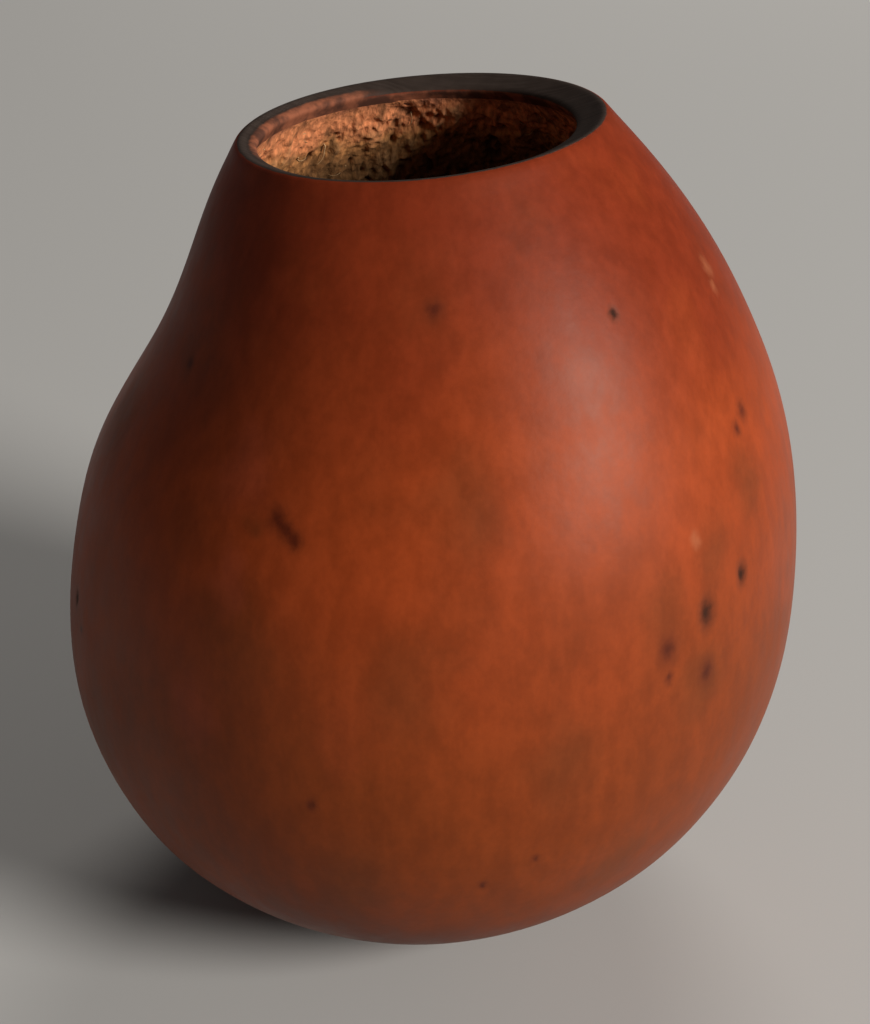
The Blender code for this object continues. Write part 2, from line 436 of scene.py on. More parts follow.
class Rings:
    """The rings of a closed piece in order: up the side away from the hollow, then down the other.

    Each ring has a radius and a height for every angle, its weight on the map, and one value or
    one for every angle in each of the named layers, which the materials read.
    """

    def __init__(self, theta, layers):
        self.theta = theta
        self.rings = []
        self.weights = []
        self.layers = {name: [] for name in layers}

    def add(self, ring, weight, *values):
        radius, height = ring
        self.rings.append((radius, height * np.ones_like(self.theta)))
        self.weights.append(weight)
        for layer, value in zip(self.layers.values(), values):
            layer.append(value * np.ones_like(self.theta))

    def last(self):
        return self.rings[-1]

    def points(self):
        """Every ring's points, then the middle of the first ring and that of the last."""
        radius = np.array([ring[0] for ring in self.rings])
        height = np.array([ring[1] for ring in self.rings])
        around = np.stack([radius * np.cos(self.theta), radius * np.sin(self.theta), height], axis=-1)
        middles = [(0.0, 0.0, float(np.mean(self.rings[end][1]))) for end in (0, -1)]
        return around.reshape(-1, 3).tolist() + middles

    def faces(self):
        """Four-sided faces between the rings, then a fan of triangles round each middle."""
        count, segments = len(self.rings), len(self.theta)
        here = np.arange(segments)
        following = (here + 1) % segments
        start = np.arange(count - 1)[:, None] * segments
        quads = np.stack([start + here, start + following, start + segments + following,
                          start + segments + here], axis=-1).reshape(-1, 4)
        top = (count - 1) * segments
        first, last = count * segments, count * segments + 1
        fans = [(first, int(j), int(i)) for i, j in zip(here, following)]
        fans += [(last, top + int(i), top + int(j)) for i, j in zip(here, following)]
        return quads.tolist() + fans

    def map_shares(self):
        """Each ring's place along the map: the length of wall up to it, times the weights."""
        radius = np.array([np.mean(ring[0]) for ring in self.rings])
        height = np.array([np.mean(ring[1]) for ring in self.rings])
        steps = np.hypot(np.diff(radius), np.diff(height)) * np.array(self.weights[1:])
        run = np.concatenate([[0.0], np.cumsum(steps)])
        return MAP_MARGIN + (1.0 - 2.0 * MAP_MARGIN) * run / run[-1]

    def map_points(self):
        """The map's point for every corner of every face: the angle across it, the wall up it."""
        segments = len(self.theta)
        shares = self.map_shares()
        left = np.arange(segments) / segments
        right = (np.arange(segments) + 1) / segments
        half = 0.5 * (left + right)
        low, high = shares[:-1], shares[1:]
        size = (len(shares) - 1, segments, 4)
        across = np.broadcast_to(np.stack([left, right, right, left], axis=-1), size)
        up = np.broadcast_to(np.stack([low, low, high, high], axis=-1)[:, None, :], size)
        none = 0.0 * half
        first = np.stack([half, none, right, none + shares[0], left, none + shares[0]], axis=-1)
        last = np.stack([half, none + 1.0, left, none + shares[-1], right, none + shares[-1]], axis=-1)
        return np.concatenate([np.stack([across, up], axis=-1).reshape(-1, 2), first.reshape(-1, 2),
                               last.reshape(-1, 2)])

    def make_piece(self, name):
        mesh = bpy.data.meshes.new(name)
        mesh.from_pydata(self.points(), [], self.faces())
        mesh.uv_layers.new(name=MAP_NAME).data.foreach_set("uv", self.map_points().ravel())
        for layer, values in self.layers.items():
            flat = np.concatenate([np.ravel(values), [values[0].mean(), values[-1].mean()]])
            mesh.attributes.new(layer, "FLOAT", "POINT").data.foreach_set("value", flat)
        mesh.shade_smooth()
        return new_object(name, mesh)


def lining_at(depth):
    """Thickness of the pulp lining, this far down the inner wall."""
    return LINING * smoothstep(LINING_START, LINING_FULL, depth)


def inset(ring):
    """A ring taken in and down a little, so that the piece stays inside the solid's box."""
    return ring[0] - SKIN_INSET, ring[1] - SKIN_INSET


def skin_hollows(theta, radius, height):
    """How far the skin lies under its smooth shape: shallow dents, and a pit at every dark mark."""
    x, y = radius * np.cos(theta), radius * np.sin(theta)
    z = height * np.ones_like(theta)
    dents = each(lambda p: noise.noise(p / DENT_SIZE), x, y, z)
    hollow = DENT_DEPTH * (0.5 + 0.5 * dents)
    for angle, up, size in PITS:
        middle = on_surface(angle, up)
        away = np.sqrt((x - middle.x)**2 + (y - middle.y)**2 + ((z - middle.z) / PIT_LENGTH)**2)
        hollow = hollow + PIT_HOLLOW * size * (1.0 - smoothstep(*PIT_SIDE, away / (size * MM)))
    return hollow


def add_skin(rings, neck):
    """The underside and the outer wall, up to the rim's worn outer edge."""
    theta = neck.theta
    foot, _ = outside(theta, np.zeros_like(theta))
    for k in range(1, BASE_BANDS + 1):
        share = k / (BASE_BANDS + 1)
        recess = BASE_RECESS * (1.0 - smoothstep(*BASE_CURVE, share))
        rings.add((foot * share, recess), BASE_WEIGHT, 0.0, 0.0)
    for k in range(SKIN_BANDS + 1):
        t = neck.worn_t * k / SKIN_BANDS
        radius, height = outside(theta, t)
        below_rim = (neck.worn_t - t) * neck.station
        ease = smoothstep(0.0, DENT_FOOT_STATIONS, t) * smoothstep(0.0, DENT_RIM_REACH, below_rim)
        hollow = skin_hollows(theta, radius, height) * ease
        rings.add((radius - SKIN_INSET - hollow, height), SKIN_WEIGHT, 0.0, 0.0)


def add_rim(rings, neck):
    """The sawn rim: its worn outer edge, its face with shallow saw lines, and its worn inner edge."""
    theta = neck.theta
    ruddy = smoothstep(*RUDDY_SPAN, np.cos(theta - RUDDY_MIDDLE))
    face_start = inset(neck.on_face(OUTER_EDGE_WEAR))
    for k, ring in enumerate(rounded(rings.last(), inset(neck.outer_edge), face_start, EDGE_BANDS), 1):
        rings.add(ring, RIM_WEIGHT, smoothstep(*SAWN_RISE, k / EDGE_BANDS), 0.0)
    width = neck.face - OUTER_EDGE_WEAR - INNER_EDGE_WEAR
    for k in range(1, FACE_BANDS + 1):
        radius, height = inset(neck.on_face(OUTER_EDGE_WEAR + width * k / FACE_BANDS))
        ease = math.sin(math.pi * k / (FACE_BANDS + 1))
        across = radius * np.sin(theta + SAW_TURN)
        saw = 0.5 + 0.5 * np.sin(math.tau * across / SAW_PITCH + SAW_BEND * np.sin(SAW_WAVES * theta))
        reddish = RUDDY_MOST * ruddy * smoothstep(*RUDDY_RISE, k / FACE_BANDS)
        rings.add((radius, height - SAW_DEPTH * ease * saw), RIM_WEIGHT, 1.0, reddish)
    wall_start = neck.inner_wall(neck.worn_inner_t, 0.0)
    for k, ring in enumerate(rounded(rings.last(), inset(neck.inner_edge), wall_start, EDGE_BANDS), 1):
        share = smoothstep(*INNER_RISE, k / EDGE_BANDS)
        rings.add(ring, RIM_WEIGHT, 1.0 - share, np.maximum(share, ruddy))


def add_inner_band(rings, neck):
    """The smooth band of the inner wall, and below it the wall that the pulp covers."""
    for k in range(1, BAND_BANDS + 1):
        depth = SHOWN_BAND * k / BAND_BANDS
        weight = RIM_WEIGHT if k < FIRST_COVERED_BAND else COVERED_WEIGHT
        rings.add(neck.inner_wall(neck.t_at(depth), -lining_at(depth)), weight, 0.0, 1.0)
    last_t = neck.t_at(SHOWN_BAND)
    for k in range(1, HIDDEN_BANDS + 1):
        t = last_t * (1.0 - k / HIDDEN_BANDS)
        rings.add(neck.inner_wall(t, -LINING), HIDDEN_WEIGHT, 0.0, 1.0)


def make_rind():
    """Skin, sawn rim, and the smooth band of the inner wall down to the pulp, in one closed mesh."""
    theta = crowded(RIND_SEGMENTS, FRONT, RIND_CROWDING)
    neck = Neck(theta)
    rings = Rings(theta, ("sawn", "inner"))
    add_skin(rings, neck)
    add_rim(rings, neck)
    add_inner_band(rings, neck)
    return rings.make_piece("gourd_rind")


def pulp_start(theta):
    """The depth at which the pulp starts, which wanders round the wall."""
    wander = BAND_WANDER * np.sin(BAND_WAVES * theta) * np.sin(BAND_SWELLS * theta + BAND_TURN)
    return SMOOTH_BAND * (1.0 + wander)


def coarse_pulp(theta, radius, height, depth):
    """The solid's own lumps."""
    def lump(place):
        return LUMP_MIDDLE - noise.voronoi(place)[0][0] + SWELL_HEIGHT * noise.noise(place * SWELL_SCALE)

    x, y = radius * np.cos(theta) / LUMP_SIZE, radius * np.sin(theta) / LUMP_SIZE
    heights = each(lump, x, y, height / (LUMP_SIZE * LUMP_STRETCH))
    size = mix(LUMP_HEIGHT, DEEP_LUMP_HEIGHT, smoothstep(*LUMP_CHANGE, depth))
    fade = smoothstep(0.0, PULP_FADE, depth - pulp_start(theta))
    fade = fade * smoothstep(0.0, PLAIN_FLOOR_RADIUS, radius)
    return heights * size * fade


def cavity(place):
    """1 in the middle of a hollow, falling to 0 at its edge."""
    spot = Vector((place.x, place.y, place.z / CAVITY_STRETCH)) / CAVITY_SIZE
    wavy = spot
    for frequency, amount in CAVITY_BENDS:
        wavy = wavy + amount * noise.noise_vector(spot * frequency)
    size = CAVITY_MIDDLE + CAVITY_SPREAD * noise.noise(spot * CAVITY_PATCH)
    return max(0.0, 1.0 - noise.voronoi(wavy)[0][0] / max(size, CAVITY_LEAST))


def strand(place):
    """1 along the middle of a strand, falling to -1 between strands."""
    spot = Vector((place.x, place.y, place.z / STRAND_STRETCH)) / STRAND_SIZE
    frequency, amount = STRAND_BEND
    return 1.0 - 2.0 * abs(noise.noise(spot + amount * noise.noise_vector(spot * frequency)))


def grit(place):
    return noise.fractal(place / GRIT_SIZE, *FRACTAL)


def pulp_relief(theta, radius, height, depth):
    """How far the pulp stands in from the wall: lumps, strands and grit, less its hollows."""
    x, y = radius * np.cos(theta), radius * np.sin(theta)
    below_start = depth - pulp_start(theta)
    deep = smoothstep(*DEEP_CHANGE, depth)
    strands = STRAND_HEIGHT * each(strand, x, y, height) * mix(1.0, DEEP_STRANDS, deep)
    fine = strands + GRIT_HEIGHT * each(grit, x, y, height)
    hollow = smoothstep(*CAVITY_EDGE, each(cavity, x, y, height)) * smoothstep(*CAVITY_RISE, below_start)
    fine = fine - CAVITY_DEPTH * hollow * mix(1.0, DEEP_CAVITIES, deep)
    rise = smoothstep(*FINE_RISE, below_start) * smoothstep(0.0, PLAIN_FLOOR_RADIUS, radius)
    return coarse_pulp(theta, radius, height, depth) + fine * rise


def add_pulp_back(rings, neck, top):
    """The back of the lining, sunk into the rind, up from the floor to the ragged top edge."""
    for k in range(BACK_BANDS, -1, -1):
        t = mix(neck.t_at(top), 0.0, (k / BACK_BANDS)**2)
        depth = neck.depth_at(t)
        rings.add(neck.inner_wall(t, -lining_at(depth) - SUNK_BACK), PULP_BACK_WEIGHT, 0.0, depth)


def add_pulp_face(rings, neck, top):
    """The face of the lining, down from its top edge and over the floor."""
    steps = [mix(neck.t_at(top), neck.t_at(SEEN_DEPTH), k / SEEN_BANDS) for k in range(SEEN_BANDS + 1)]
    steps += [neck.t_at(SEEN_DEPTH) * (1.0 - k / DEEP_BANDS) for k in range(1, DEEP_BANDS + 1)]
    for k, t in enumerate(steps):
        radius, height = inside(neck.theta, t)
        depth = neck.depth_at(t)
        inwards = pulp_relief(neck.theta, radius, height, depth)
        inwards = inwards - SUNK_EDGE * (1.0 - smoothstep(0.0, SUNK_REACH, depth - top))
        beyond = mix(DEEPEST_NEAR_RIM, DEEPEST_BELOW, smoothstep(*DEEPEST_CHANGE, depth))
        inwards = np.maximum(inwards, -(lining_at(depth) + beyond))
        weight = PULP_UPPER_WEIGHT if k < PULP_UPPER_STEPS else PULP_LOWER_WEIGHT
        rings.add(neck.inner_wall(t, inwards), weight, inwards / LUMP_HEIGHT, depth)
    radius, height = rings.last()
    for k in range(1, FLOOR_BANDS + 1):
        share = 1.0 - k / (FLOOR_BANDS + 1)
        rings.add((radius * share, height), PULP_LOWER_WEIGHT, 0.0, depth)


def make_pulp():
    """Dried pulp: a thin closed lining, pitted and ragged, with its top edge sunk into the rind."""
    theta = crowded(PULP_SEGMENTS, PULP_MIDDLE, PULP_CROWDING)
    neck = Neck(theta)
    edge = neck.inner_edge[0]
    ragged = each(lambda place: noise.fractal(place / RAGGED_SIZE, *FRACTAL),
                  edge * np.cos(theta), edge * np.sin(theta), 0.0 * theta)
    top = TOP_DEPTH + RAGGED * np.clip(ragged, -1.0, 1.0)
    rings = Rings(theta, ("relief", "depth"))
    add_pulp_back(rings, neck, top)
    add_pulp_face(rings, neck, top)
    return rings.make_piece("gourd_pulp")


def tube(path, radii, sides):
    """Points and faces of a closed tube along a path."""
    points, faces = [], []
    for i, (place, radius) in enumerate(zip(path, radii)):
        ahead = path[min(i + 1, len(path) - 1)] - path[max(i - 1, 0)]
        side = ahead.cross(TUBE_SIDE).normalized()
        other = ahead.normalized().cross(side)
        for k in range(sides):
            angle = math.tau * k / sides
            points.append(place + radius * (side * math.cos(angle) + other * math.sin(angle)))
    for i in range(len(path) - 1):
        for k in range(sides):
            j = (k + 1) % sides
            low, high = i * sides, (i + 1) * sides
            faces.append((low + k, low + j, high + j, high + k))
    faces.append(tuple(range(sides - 1, -1, -1)))
    faces.append(tuple(range((len(path) - 1) * sides, len(path) * sides)))
    return points, faces


def fibre_path(draw):
    """The places and radii along one curled fibre, from its root in the pulp to its thin tip."""
    theta = np.array([draw.uniform(-math.pi, math.pi)])
    neck = Neck(theta)
    depth = mix(*FIBRE_DEPTHS, draw.random()**FIBRE_DEPTH_POWER)
    radius, height = (float(v[0]) for v in neck.inner_wall(neck.t_at(depth), 0.0))
    lower_radius, lower_height = (float(v[0]) for v in neck.inner_wall(neck.t_at(depth + MM), 0.0))
    around = Vector((-math.sin(theta[0]), math.cos(theta[0]), 0.0))
    outwards = Vector((math.cos(theta[0]), math.sin(theta[0]), 0.0))
    down = (outwards * (lower_radius - radius) + Vector((0.0, 0.0, lower_height - height))).normalized()
    inwards = around.cross(down).normalized()
    if inwards.dot(outwards) > 0.0:
        inwards.negate()
    root = outwards * radius + Vector((0.0, 0.0, height)) - inwards * FIBRE_ROOT
    length = draw.uniform(*FIBRE_LENGTHS)
    lean = draw.gauss(0.0, FIBRE_LEAN)
    curl = draw.uniform(*FIBRE_CURLS) * draw.choice((-1.0, 1.0))
    stand = draw.uniform(*FIBRE_STANDS)
    thickness = draw.uniform(*FIBRE_RADII)
    path, radii = [root], [thickness]
    for k in range(1, FIBRE_STEPS):
        share = k / (FIBRE_STEPS - 1)
        turn = lean + curl * share
        lift = stand * (FIBRE_LIFT - FIBRE_DROOP * share)
        heading = down * math.cos(turn) + around * math.sin(turn) + inwards * lift
        path.append(path[-1] + heading.normalized() * (length / (FIBRE_STEPS - 1)))
        radii.append(thickness * (1.0 - FIBRE_TAPER * share))
    path[1] = root + inwards * (FIBRE_ROOT + FIBRE_RISE)
    return path, radii


def make_fibres():
    """Short curled fibres that stand out of the pulp, thinner towards their tips."""
    draw = random.Random(FIBRE_SEED)
    points, faces = [], []
    for _ in range(FIBRES):
        shift = len(points)
        fibre_points, fibre_faces = tube(*fibre_path(draw), FIBRE_SIDES)
        points += [tuple(point) for point in fibre_points]
        faces += [tuple(shift + i for i in face) for face in fibre_faces]
    mesh = bpy.data.meshes.new("pulp_fibres")
    mesh.from_pydata(points, [], faces)
    mesh.shade_smooth()
    return new_object("pulp_fibres", mesh)


class Graph:
    """Makes and joins the nodes of one material."""

    def __init__(self, name):
        self.material = bpy.data.materials.new(name)
        self.material.use_nodes = True
        self.nodes = self.material.node_tree.nodes
        self.links = self.material.node_tree.links
        self.shader = self.nodes["Principled BSDF"]
        self.place = self.nodes.new("ShaderNodeTexCoord").outputs["Object"]

    def feed(self, socket, value):
        if isinstance(value, bpy.types.NodeSocket):
            self.links.new(value, socket)
        else:
            socket.default_value = value

    def add(self, kind, settings, values):
        node = self.nodes.new("ShaderNode" + kind)
        for key, value in settings.items():
            setattr(node, key, value)
        for key, value in values.items():
            self.feed(node.inputs[key], value)
        return node

    def math(self, operation, a, b):
        return self.add("Math", {"operation": operation}, {0: a, 1: b}).outputs[0]

    def vector(self, operation, a, b):
        return self.add("VectorMath", {"operation": operation}, {0: a, 1: b}).outputs["Vector"]

    def scaled(self, color, factor):
        return self.add("VectorMath", {"operation": "SCALE"}, {0: color, "Scale": factor}).outputs["Vector"]

    def centred(self, value, size):
        """A noise from 0 to 1 made to go to both sides of zero, half this size each way."""
        return self.math("MULTIPLY", self.math("SUBTRACT", value, 0.5), size)

    def layer(self, name):
        return self.add("Attribute", {"attribute_name": name}, {}).outputs["Fac"]

    def noise(self, size, detail, stretch=1.0, rough=0.55, place=None):
        """Noise from 0 to 1 with spots of this size in metres, drawn out along Z by stretch."""
        spot = self.vector("MULTIPLY", place or self.place, (1.0, 1.0, 1.0 / stretch))
        values = {"Vector": spot, "Scale": 1.0 / size, "Detail": detail, "Roughness": rough}
        return self.add("TexNoise", {}, values).outputs["Fac"]

    def step(self, value, low, high, start=0.0, end=1.0):
        """A smooth step of value, from start at low to end at high."""
        values = {"Value": value, "From Min": low, "From Max": high, "To Min": start, "To Max": end}
        return self.add("MapRange", {"interpolation_type": "SMOOTHSTEP"}, values).outputs["Result"]

    def blend(self, share, a, b):
        """From colour a to colour b, which are inputs 6 and 7 of the node, by share."""
        return self.add("Mix", {"data_type": "RGBA"}, {0: share, 6: a, 7: b}).outputs[2]

    def tinted(self, color, value, tints):
        """The colour with tints over it, each by its own step of value up to its own share."""
        for low, high, most, tint in tints:
            color = self.blend(self.step(value, low, high, 0.0, most), color, tint)
        return color

    def shaded(self, color, value, shades):
        """The colour made darker and lighter by a step of value."""
        return self.scaled(color, self.step(value, *shades))

    def warped(self, size, by):
        """The place, pushed about by up to half of by, in metres."""
        values = {"Vector": self.place, "Scale": 1.0 / size, "Detail": 2.0}
        push = self.add("TexNoise", {}, values).outputs["Color"]
        centred = self.vector("SUBTRACT", push, (0.5, 0.5, 0.5))
        return self.vector("ADD", self.place, self.scaled(centred, by))

    def nearest(self, place, marks, length):
        """Distance to the nearest mark over that mark's radius; marks are longer along Z."""
        flat = self.vector("MULTIPLY", place, (1.0, 1.0, 1.0 / length))
        found = None
        for angle, up, size in marks:
            middle = on_surface(angle, up)
            middle.z /= length
            away = self.add("VectorMath", {"operation": "DISTANCE"}, {0: flat, 1: middle}).outputs["Value"]
            share = self.math("MULTIPLY", away, 1.0 / (size * MM))
            found = share if found is None else self.math("MINIMUM", found, share)
        return found

    def bump(self, height_mm):
        values = {"Height": height_mm, "Distance": MM, "Strength": 1.0}
        self.links.new(self.add("Bump", {}, values).outputs["Normal"], self.shader.inputs["Normal"])


def run_of_spots(start, end, count):
    """Spots in a row, close enough to join into one line."""
    shares = [k / (count - 1) for k in range(count)]
    return tuple(tuple(mix(a, b, share) for a, b in zip(start, end)) for share in shares)


def rgb(red, green, blue):
    return red, green, blue, 1.0


# Noises of the skin: size of the spots in metres, detail, and where given, length and roughness.
PATCHES = (0.020, 4.0, 1.3)
HEIGHT_NOISE = (0.045, 2.0)
STREAKS = (0.0020, 3.0, 16.0)
MOTTLE = (0.0030, 4.0, 1.8, 0.6)
FINE_MOTTLE = (0.0008, 3.0)
GRAIN = (0.0009, 2.0)
PEEL = (0.0045, 2.0)
FRAY = (0.0012, 3.0)

# Colours of the skin, from the foot up: the heights at which each starts to take over and has done
# so, its share there, and the colour. The heights wander by up to half of a distance each way. The
# skin darkens towards the foot: partly a browner skin, partly painted shade low on the body.
SHADED_FOOT_COLOR = rgb(0.108, 0.021, 0.005)
SKIN_COLORS_AND_LOW_SHADE = (
    (0.006, 0.034, 1.0, rgb(0.208, 0.039, 0.007)),
    (0.042, 0.086, 1.0, rgb(0.325, 0.050, 0.010)),
    (0.085, 0.115, 1.0, rgb(0.212, 0.028, 0.008)),
)
HEIGHT_WANDER = 0.05

# Tints: the values at which each starts and is full, its share there, and its colour. The value is
# the noise for the patches, and for marks the distance from their middle over their radius.
PATCH_TINTS = (
    (0.47, 0.76, 0.42, rgb(0.145, 0.030, 0.007)),
    (0.44, 0.28, 0.30, rgb(0.355, 0.060, 0.015)),
)
STAIN_TINTS = ((1.40, 0.10, 0.42, rgb(0.120, 0.033, 0.009)),)
FLUSH_TINTS = ((1.40, 0.20, 0.35, rgb(0.380, 0.066, 0.028)),)
PALE_TINTS = ((1.60, 0.00, 0.50, rgb(0.42, 0.13, 0.055)),)
RED_TINTS = (
    (2.20, 0.80, 0.40, rgb(0.110, 0.021, 0.007)),
    (1.30, 0.05, 0.74, rgb(0.055, 0.008, 0.004)),
)
PIT_TINTS = ((2.00, 0.90, 0.40, rgb(0.085, 0.021, 0.008)),)
PIT_CORE = (1.25, 0.15)
PIT_CORE_SHARE = 0.92
PIT_CORE_COLOR = rgb(0.018, 0.008, 0.005)

# How the outlines of the marks are bent: the size of the bends, and twice how far they go, in metres.
STAIN_WARP = (0.008, 0.008)
FLUSH_WARP = (0.006, 0.009)
PALE_WARP = (0.0015, 0.0018)
SPOT_WARP = (0.0010, 0.0009)
# The marks' length for their width.
STAIN_LENGTH = 1.3
FLUSH_LENGTH = 1.4
PALE_LENGTH = 1.2
RED_LENGTH = 1.3

# Shades: the values of a noise at which the colour is darkest and lightest, and its factors there.
STREAK_SHADES = (0.30, 0.70, 0.965, 1.035)
MOTTLE_SHADES = (0.30, 0.72, 0.88, 1.09)
FINE_SHADES = (0.30, 0.70, 0.97, 1.03)

# The sawn face, and the saw lines across it.
SOOT = (0.003, 4.0)
FACE_DARK = rgb(0.028, 0.019, 0.015)
FACE_LIGHT = rgb(0.066, 0.047, 0.038)
SAW_ACROSS = (0.39, 0.92, 0.0)
SAW_NOISE = (0.0007, 2.0)
SAW_WANDER = (0.004, 0.0)
SAW_WANDER_REACH = 0.0008
SAW_SHADES = (0.30, 0.70, 0.88, 1.12)

# The smooth band of the inner wall.
BLOTCHES = (0.0035, 4.0, 1.4, 0.6)
BLOTCH_STEP = (0.38, 0.64)
BAND_DARK = rgb(0.100, 0.040, 0.026)
BAND_LIGHT = rgb(0.330, 0.108, 0.055)

# Where skin, sawn face and inner wall pass into each other, and how much that line is frayed.
FRAY_REACH = 0.5
SAWN_STEP = (0.35, 0.62)
INNER_STEP = (0.25, 0.85)

# Gloss of the rind: roughness, and how much light it throws back, faintly red.
PATCH_ROUGHNESS = (0.3, 0.7, 0.43, 0.50)
MOTTLE_ROUGHNESS = (0.3, 0.7, -0.03, 0.03)
PIT_ROUGHNESS = 0.3
SAWN_ROUGHNESS = 0.12
INNER_ROUGHNESS = 0.28
SKIN_SPECULAR = 0.18
SKIN_SPECULAR_TINT = rgb(1.0, 0.80, 0.70)

# Relief of the rind too fine for the mesh, in mm.
GRAIN_MM = 0.012
PEEL_MM = 0.06
INNER_PEEL_MM = 0.35
SAWMARK_MM = 0.10


def skin_color(g, patches, mottle):
    """Red at the neck, browner orange below, with soft patches, stains, streaks and mottling.

    It darkens towards the foot, partly with painted shade.
    """
    up = g.add("SeparateXYZ", {}, {0: g.place}).outputs["Z"]
    height = g.math("ADD", up, g.centred(g.noise(*HEIGHT_NOISE), HEIGHT_WANDER))
    # Painted shade darkens the skin towards the foot, together with its browner colour.
    skin = g.tinted(SHADED_FOOT_COLOR, height, SKIN_COLORS_AND_LOW_SHADE)
    skin = g.tinted(skin, patches, PATCH_TINTS)
    skin = g.tinted(skin, g.nearest(g.warped(*STAIN_WARP), STAINS, STAIN_LENGTH), STAIN_TINTS)
    skin = g.tinted(skin, g.nearest(g.warped(*FLUSH_WARP), FLUSHES, FLUSH_LENGTH), FLUSH_TINTS)
    skin = g.shaded(skin, g.noise(*STREAKS), STREAK_SHADES)
    skin = g.shaded(skin, mottle, MOTTLE_SHADES)
    return g.shaded(skin, g.noise(*FINE_MOTTLE), FINE_SHADES)


def spotted(g, skin, spot_place, pit_core, pitted):
    """The skin with its marks: pale rubbed spots, dark red spots and scars, and pits."""
    skin = g.tinted(skin, g.nearest(g.warped(*PALE_WARP), PALE_SPOTS, PALE_LENGTH), PALE_TINTS)
    scars = sum((run_of_spots(*scar) for scar in SCARS), ())
    skin = g.tinted(skin, g.nearest(spot_place, RED_SPOTS + scars, RED_LENGTH), RED_TINTS)
    skin = g.tinted(skin, pitted, PIT_TINTS)
    return g.blend(g.math("MULTIPLY", pit_core, PIT_CORE_SHARE), skin, PIT_CORE_COLOR)


def saw_lines(g):
    """Noise that changes only across the saw lines, and wanders a little."""
    straight = g.add("VectorMath", {"operation": "DOT_PRODUCT"}, {0: g.place, 1: SAW_ACROSS})
    wander = g.math("MULTIPLY", g.noise(*SAW_WANDER), SAW_WANDER_REACH)
    across = g.add("CombineXYZ", {}, {0: g.math("ADD", straight.outputs["Value"], wander)}).outputs[0]
    return g.noise(*SAW_NOISE, place=across)


def rind_material():
    g = Graph("dried_rind")
    sawn = g.layer("sawn")
    inner = g.layer("inner")
    patches = g.noise(*PATCHES)
    mottle = g.noise(*MOTTLE)
    spot_place = g.warped(*SPOT_WARP)
    pitted = g.nearest(spot_place, PITS, PIT_LENGTH)
    pit_core = g.step(pitted, *PIT_CORE)
    sawmarks = saw_lines(g)

    skin = spotted(g, skin_color(g, patches, mottle), spot_place, pit_core, pitted)
    face = g.shaded(g.blend(g.noise(*SOOT), FACE_DARK, FACE_LIGHT), sawmarks, SAW_SHADES)
    band = g.blend(g.step(g.noise(*BLOTCHES), *BLOTCH_STEP), BAND_DARK, BAND_LIGHT)
    frayed = g.centred(g.noise(*FRAY), FRAY_REACH)
    color = g.blend(g.step(g.math("ADD", sawn, frayed), *SAWN_STEP), skin, face)
    color = g.blend(g.step(g.math("ADD", inner, frayed), *INNER_STEP), color, band)
    g.feed(g.shader.inputs["Base Color"], color)

    skin_rough = g.math("ADD", g.step(patches, *PATCH_ROUGHNESS), g.step(mottle, *MOTTLE_ROUGHNESS))
    skin_rough = g.math("ADD", skin_rough, g.math("MULTIPLY", pit_core, PIT_ROUGHNESS))
    cut_rough = g.math("ADD", g.math("MULTIPLY", sawn, SAWN_ROUGHNESS),
                       g.math("MULTIPLY", inner, INNER_ROUGHNESS))
    g.feed(g.shader.inputs["Roughness"], g.math("ADD", skin_rough, cut_rough))
    g.shader.inputs["Specular IOR Level"].default_value = SKIN_SPECULAR
    g.shader.inputs["Specular Tint"].default_value = SKIN_SPECULAR_TINT

    grain = g.math("MULTIPLY", g.noise(*GRAIN), GRAIN_MM)
    uneven = g.math("ADD", g.math("MULTIPLY", inner, INNER_PEEL_MM), PEEL_MM)
    peel = g.math("MULTIPLY", g.noise(*PEEL), uneven)
    cuts = g.math("MULTIPLY", sawmarks, g.math("MULTIPLY", sawn, SAWMARK_MM))
    g.bump(g.math("ADD", g.math("ADD", grain, peel), cuts))
    return g.material


# Noises of the pulp: size of the spots in metres, detail, and where given, length and roughness.
PULP_UNEVEN = (0.0045, 4.0, 1.6, 0.6)
PULP_FINE = (0.0008, 4.0, 1.5)
PULP_STRANDS = (0.0007, 3.0, 7.0)
PULP_RUNS = (0.0026, 3.0, 2.8)

# Colours of the pulp, from the top down: the depths at which each starts to take over and has done
# so, its share there, and the colour. The depths wander by up to half of a distance each way. Bright
# just under the top and darker deeper down, they hold painted light near the mouth and painted shade
# deeper in the hollow.
PULP_TOP_COLOR = rgb(0.300, 0.102, 0.052)
PULP_COLORS_LIT_TO_SHADED = (
    (-0.0005, 0.0030, 1.0, rgb(0.740, 0.258, 0.105)),
    (0.0050, 0.0100, 1.0, rgb(0.470, 0.200, 0.066)),
    (0.009, 0.016, 1.0, rgb(0.200, 0.092, 0.032)),
)
PULP_WANDER = 0.012
UNEVEN_TINTS = ((0.51, 0.66, 0.45, rgb(0.170, 0.082, 0.028)),)
RUN_TINTS = ((0.55, 0.68, 0.60, rgb(0.100, 0.046, 0.016)),)
# Painted shade in the hollows and painted light on the lumps, by their height over the lumps' own.
RELIEF_LIGHT_AND_SHADE = (
    (-0.05, -0.95, 0.82, rgb(0.050, 0.022, 0.010)),
    (0.35, 0.95, 0.30, rgb(0.76, 0.40, 0.18)),
)
FINE_RELIEF = 0.5
STRAND_SHADES = (0.30, 0.70, 0.72, 1.22)
CRUMB_SHADES = (0.30, 0.70, 0.80, 1.15)
PULP_ROUGHNESS = (0.3, 0.7, 0.85, 0.97)
PULP_SPECULAR = 0.25
CRUMB_MM = 0.30
STRAND_MM = 0.20


